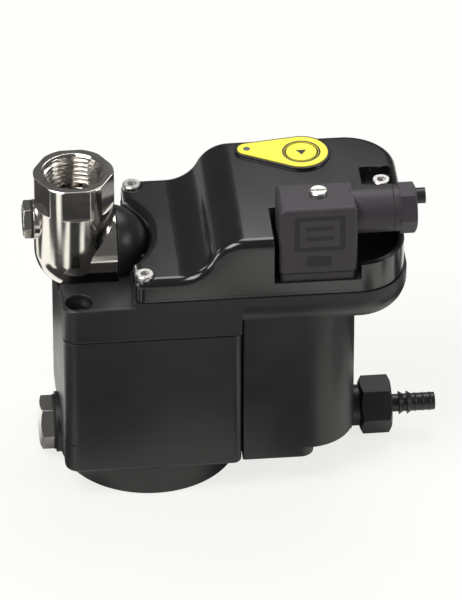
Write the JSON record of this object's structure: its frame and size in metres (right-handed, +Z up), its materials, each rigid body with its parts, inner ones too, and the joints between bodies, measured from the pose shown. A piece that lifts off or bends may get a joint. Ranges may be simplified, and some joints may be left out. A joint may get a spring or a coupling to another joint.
{
  "type": "automatic drain valve",
  "caption": "Level-controlled condensate drain: small container, diaphragm valve with pilot solenoid, swivelling inlet elbow, plug-in connector and barbed hose outlet.",
  "frame": {"origin": "centre of the round base on which the drain stands", "axes": "+Z up, +X towards the outlet hose tail"},
  "size_m": [0.149, 0.066, 0.1217],
  "materials": {
    "cast_black": "semi-gloss",
    "nickel": "plated",
    "cover_black": "gloss",
    "connector_grey": "matt",
    "nylon_black": "satin",
    "seal_black": "matt",
    "screw_zinc": "bright",
    "label_yellow": "satin",
    "board_green": "satin",
    "brass": "machined",
    "steel": "machined",
    "probe_white": "satin",
    "clear": "clear"
  },
  "bodies": {
    "body": {"container": "cast_black", "container_gasket": "seal_black", "lower_plug": "nickel", "lower_plug_washer": "seal_black", "head": "cast_black", "body_screws": "screw_zinc", "elbow_retaining_ring": "steel", "riser_pipe": "nylon_black", "sensor_tube": "probe_white", "sensor_o_ring": "seal_black", "diaphragm": "seal_black", "diaphragm_spring": "steel", "valve_cap": "brass", "valve_cap_screws": "screw_zinc", "core_tube": "steel", "solenoid_coil": "nylon_black", "coil_yoke": "steel", "coil_nut": "screw_zinc", "plunger_spring": "steel", "cover": "cover_black", "cover_gasket": "seal_black", "cover_screws": "screw_zinc", "label": "label_yellow", "button_spring": "steel", "light_guide": "clear", "circuit_board": "board_green", "board_parts": "nylon_black", "board_posts": "nylon_black", "board_screws": "screw_zinc", "connector_base": "connector_grey", "connector_pins": "brass", "connector_gasket": "seal_black", "terminal_insert": "nylon_black", "connector_housing": "connector_grey", "connector_screw": "screw_zinc", "gland_seal": "seal_black", "end_plug": "nylon_black", "outlet_adaptor": "nylon_black", "outlet_o_ring": "seal_black", "hose_tail": "nylon_black"},
    "elbow": {"inlet_elbow": "nickel", "vent_plug": "nickel", "vent_plug_washer": "seal_black", "elbow_o_ring": "seal_black"},
    "union": {"union_nut": "nylon_black"},
    "gland": {"gland_nut": "connector_grey"},
    "button": {"test_button": "label_yellow"},
    "plunger": {"pilot_plunger": "steel"},
    "valve": {"valve_disc": "brass"}
  },
  "joints": [
    {"name": "elbow_swivel", "type": "hinge", "parent": "body", "child": "elbow", "pos_m": [-0.026, 0, 0.0882], "axis": [1, 0, 0], "range_deg": [-45, 45]},
    {"name": "union_nut_turn", "type": "hinge", "parent": "body", "child": "union", "pos_m": [0.0826, 0, 0.0112], "axis": [1, 0, 0], "continuous": true},
    {"name": "gland_nut_turn", "type": "hinge", "parent": "body", "child": "gland", "pos_m": [0.0895, -0.022, 0.1122], "axis": [1, 0, 0], "continuous": true},
    {"name": "test_button_press", "type": "slide", "parent": "body", "child": "button", "axis": [0, 0, -1], "range_m": [0, 0.0008], "stiffness_N_per_m": 800, "springref_m": -0.001, "deforming": ["button_spring"]},
    {"name": "plunger_lift", "type": "slide", "parent": "body", "child": "plunger", "axis": [0, 0, 1], "range_m": [0, 0.0015], "stiffness_N_per_m": 300, "springref_m": -0.002, "deforming": ["plunger_spring"]},
    {"name": "valve_lift", "type": "slide", "parent": "body", "child": "valve", "axis": [0, 0, 1], "range_m": [0, 0.0018], "stiffness_N_per_m": 400, "springref_m": -0.002, "deforming": ["diaphragm_spring", "diaphragm"]}
  ]
}
